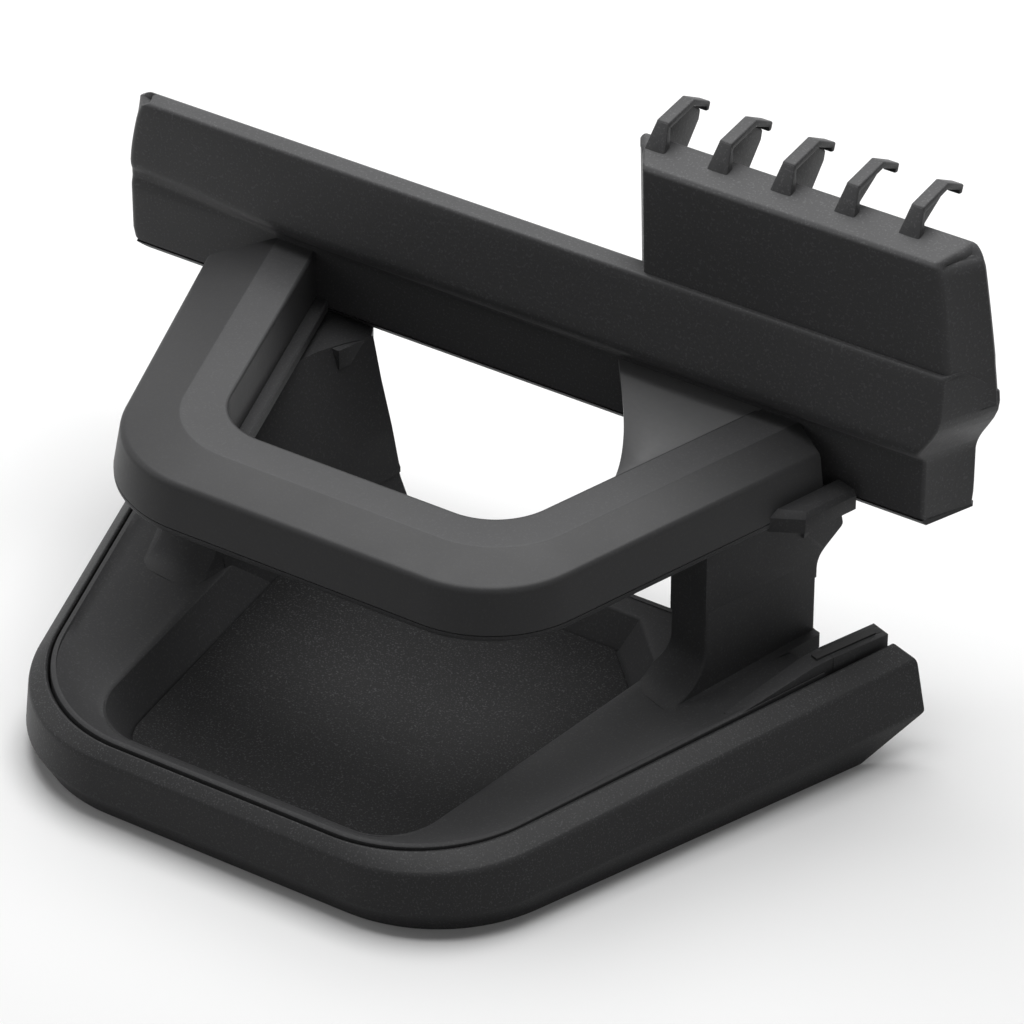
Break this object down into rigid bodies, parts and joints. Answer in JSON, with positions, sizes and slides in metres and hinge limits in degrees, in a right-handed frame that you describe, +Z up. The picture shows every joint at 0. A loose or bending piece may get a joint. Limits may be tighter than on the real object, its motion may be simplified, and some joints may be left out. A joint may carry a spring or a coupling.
{
  "type": "car cup holder",
  "caption": "Cup holder for a dashboard: a long hooked bar carries a trapezoidal ring above a broad shallow tray, joined by two pillars",
  "frame": {"origin": "on the resting plane, straight below the middle of the cup opening", "axes": "+X along the bar to the claws' side, +Y back to the dashboard, +Z up"},
  "size_m": [0.2552, 0.173, 0.1421],
  "materials": {
    "grained_black": "fine moulded grain, low sheen",
    "matte_black": "plain moulded",
    "satin_grey": "satin soft-touch paint",
    "dark_frame": "fine moulded grain",
    "bumper_black": "satin with fine speckle",
    "mat_rubber": "matt, finely speckled",
    "strip_rubber": "matt",
    "pad_foam": "matt closed-cell foam",
    "screw_steel": "plated"
  },
  "bodies": {
    "root": {"front_cover": "grained_black", "back_plate": "matte_black", "ring_cover": "satin_grey", "holder_frame": "dark_frame", "base_shell": "bumper_black", "floor_mat": "mat_rubber", "rail_strip_left": "strip_rubber", "rail_strip_right": "strip_rubber", "foam_pad_left": "pad_foam", "foam_pad_middle": "pad_foam", "foam_pad_right": "pad_foam", "back_screw_1": "screw_steel", "back_screw_2": "screw_steel", "back_screw_3": "screw_steel", "back_screw_4": "screw_steel", "back_screw_5": "screw_steel", "back_screw_6": "screw_steel", "bracket_screw_1": "screw_steel", "bracket_screw_2": "screw_steel", "bracket_screw_3": "screw_steel", "bracket_screw_4": "screw_steel", "ring_screw_1": "screw_steel", "ring_screw_2": "screw_steel", "ring_screw_3": "screw_steel", "ring_screw_4": "screw_steel", "base_screw_1": "screw_steel", "base_screw_2": "screw_steel", "base_screw_3": "screw_steel", "base_screw_4": "screw_steel", "base_screw_5": "screw_steel", "base_screw_6": "screw_steel"}
  },
  "joints": []
}
